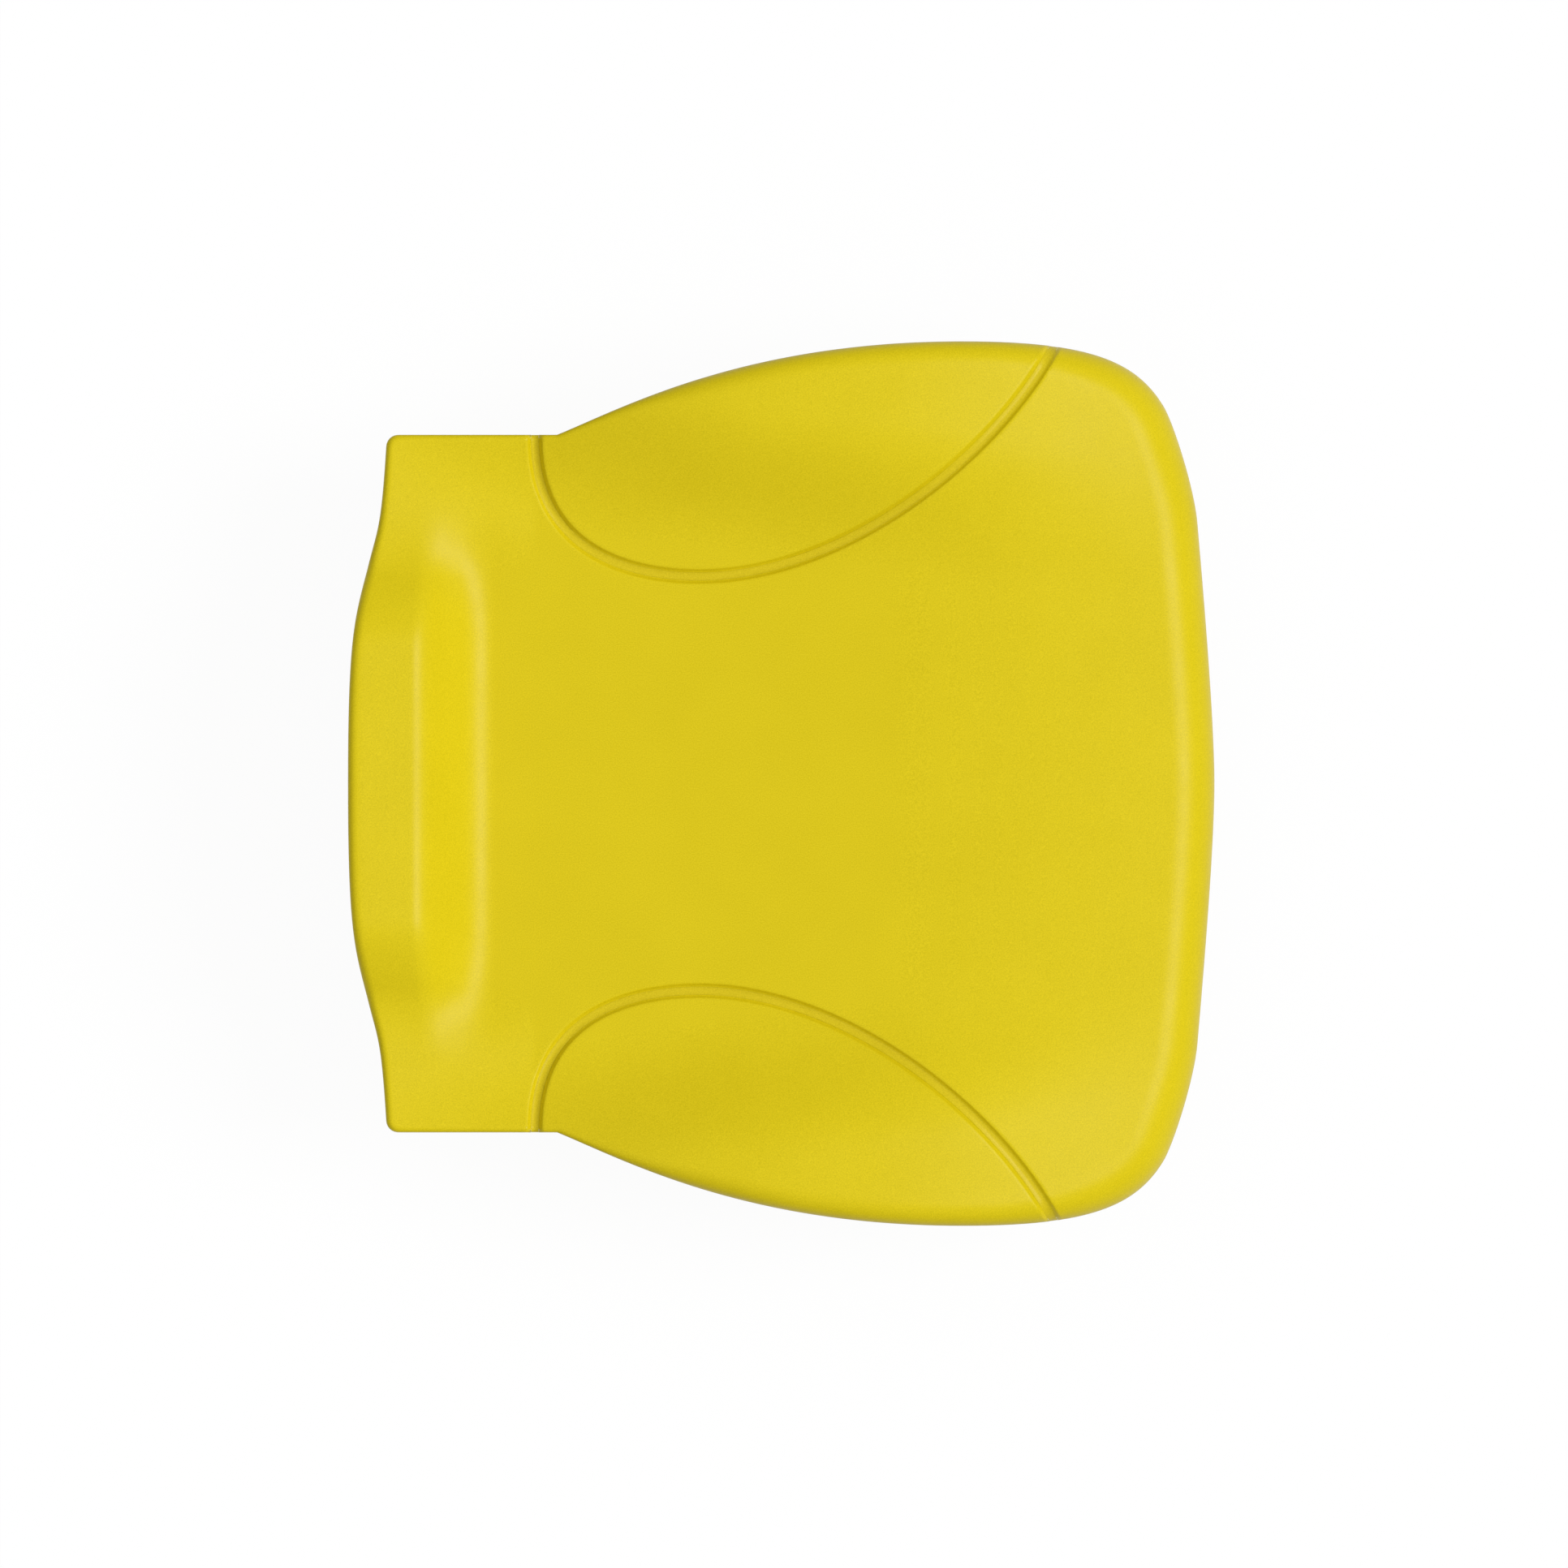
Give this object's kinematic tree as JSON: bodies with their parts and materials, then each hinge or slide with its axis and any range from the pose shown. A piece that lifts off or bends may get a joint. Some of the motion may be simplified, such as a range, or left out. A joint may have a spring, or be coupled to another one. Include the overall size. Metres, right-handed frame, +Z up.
{
  "type": "kayak seat",
  "caption": "Kayak seat with a raised rear lip and side wings: foam pads on a moulded pan, carried by a frame that slides along hull rails and is clamped by swinging levers.",
  "frame": {"origin": "on the hull floor under the rails, at the middle of the seat's plan", "axes": "+X towards the bow, +Y to port, +Z up"},
  "size_m": [0.431, 0.44, 0.1283],
  "materials": {
    "rail_alloy": "clear anodised extrusion",
    "frame_alloy": "clear anodised",
    "black_plastic": "moulded glass-filled nylon",
    "glide_plastic": "machined acetal",
    "steel": "stainless",
    "brass": "turned",
    "pan_plastic": "yellow moulded polyethylene",
    "pad_foam": "yellow skinned closed-cell foam, finely grained and matt"
  },
  "bodies": {
    "rails": {"left_rail": "rail_alloy", "right_rail": "rail_alloy", "front_left_stop": "black_plastic", "front_right_stop": "black_plastic", "rear_left_stop": "black_plastic", "rear_right_stop": "black_plastic", "stop_screws": "steel"},
    "seat": {"left_beam": "frame_alloy", "right_beam": "frame_alloy", "front_bar": "frame_alloy", "rear_bar": "frame_alloy", "bar_rivets": "steel", "front_left_glide": "glide_plastic", "front_right_glide": "glide_plastic", "rear_left_glide": "glide_plastic", "rear_right_glide": "glide_plastic", "foot_bolts": "steel", "foot_inserts": "brass", "seat_pan": "pan_plastic", "centre_pad": "pad_foam", "left_wing_pad": "pad_foam", "right_wing_pad": "pad_foam", "clamp_bolts": "steel", "clamp_washers": "steel"},
    "left_lever": {"left_clamp_lever": "black_plastic", "left_hub_nut": "brass"},
    "right_lever": {"right_clamp_lever": "black_plastic", "right_hub_nut": "brass"}
  },
  "joints": [
    {"name": "seat_slide", "type": "slide", "parent": "rails", "child": "seat", "axis": [1, 0, 0], "range_m": [-0.05, 0.05]},
    {"name": "left_lever_swing", "type": "hinge", "parent": "seat", "child": "left_lever", "pos_m": [0.125, 0.095, 0.042], "axis": [0, 0, 1], "range_deg": [0, 90]},
    {"name": "right_lever_swing", "type": "hinge", "parent": "seat", "child": "right_lever", "pos_m": [0.125, -0.095, 0.042], "axis": [0, 0, -1], "range_deg": [0, 90]}
  ]
}
